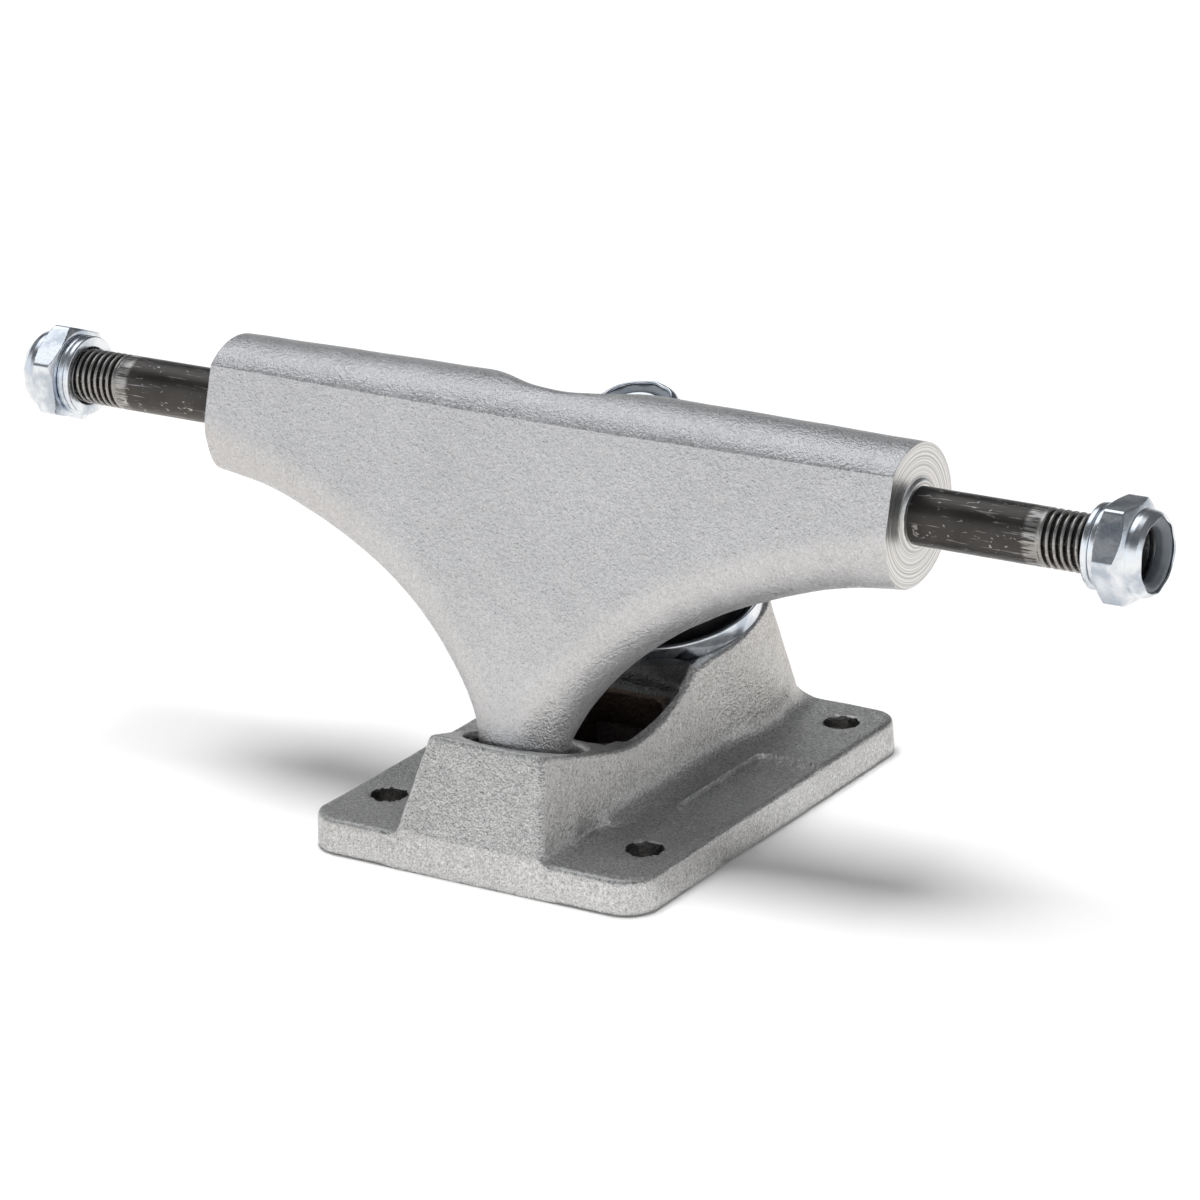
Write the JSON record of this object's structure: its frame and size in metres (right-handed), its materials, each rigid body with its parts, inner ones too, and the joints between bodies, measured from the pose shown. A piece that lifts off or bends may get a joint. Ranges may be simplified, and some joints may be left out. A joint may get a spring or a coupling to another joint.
{
  "type": "skateboard truck",
  "caption": "Skateboard truck: cast base plate and T-shaped hanger on a leaning kingpin with rubber bushings, threaded axle with lock nuts and speed washers.",
  "frame": {"origin": "centre of the four deck bolt holes, on the mounting face", "axes": "+X along the axle, +Y from the pivot towards the kingpin, +Z away from the deck"},
  "size_m": [0.1774, 0.0738, 0.0625],
  "materials": {
    "cast_aluminium": "tumbled raw casting",
    "zinc_plate": "bright zinc plating",
    "axle_steel": "blackened steel with light scratches",
    "bushing_urethane": "satin black urethane",
    "cup_urethane": "black urethane",
    "nut_nylon": "grey nylon"
  },
  "bodies": {
    "base": {"base_plate": "cast_aluminium", "pivot_cup": "cup_urethane", "kingpin": "zinc_plate", "lower_cup_washer": "zinc_plate", "lower_bushing": "bushing_urethane", "upper_bushing": "bushing_urethane", "upper_cup_washer": "zinc_plate", "kingpin_nut": "zinc_plate", "kingpin_nut_insert": "nut_nylon"},
    "hanger": {"hanger": "cast_aluminium", "axle": "axle_steel", "axle_nut_left": "zinc_plate", "axle_nut_right": "zinc_plate", "axle_nut_insert_left": "nut_nylon", "axle_nut_insert_right": "nut_nylon"},
    "washer_left_inner": {"speed_washer_left_inner": "zinc_plate"},
    "washer_left_outer": {"speed_washer_left_outer": "zinc_plate"},
    "washer_right_inner": {"speed_washer_right_inner": "zinc_plate"},
    "washer_right_outer": {"speed_washer_right_outer": "zinc_plate"}
  },
  "joints": [
    {"name": "hanger_steer", "type": "hinge", "parent": "base", "child": "hanger", "pos_m": [0, -0.02558, 0.01079], "axis": [0, 0.8083, 0.5887], "range_deg": [-14, 14], "stiffness_Nm_per_rad": 20, "deforming": ["lower_bushing", "upper_bushing"]},
    {"name": "washer_left_inner_spin", "type": "hinge", "parent": "hanger", "child": "washer_left_inner", "pos_m": [-0.0807, -0.0121, 0.053], "axis": [1, 0, 0], "continuous": true},
    {"name": "washer_left_outer_spin", "type": "hinge", "parent": "hanger", "child": "washer_left_outer", "pos_m": [-0.0817, -0.0121, 0.053], "axis": [1, 0, 0], "continuous": true},
    {"name": "washer_right_inner_spin", "type": "hinge", "parent": "hanger", "child": "washer_right_inner", "pos_m": [0.0807, -0.0121, 0.053], "axis": [1, 0, 0], "continuous": true},
    {"name": "washer_right_outer_spin", "type": "hinge", "parent": "hanger", "child": "washer_right_outer", "pos_m": [0.0817, -0.0121, 0.053], "axis": [1, 0, 0], "continuous": true}
  ]
}
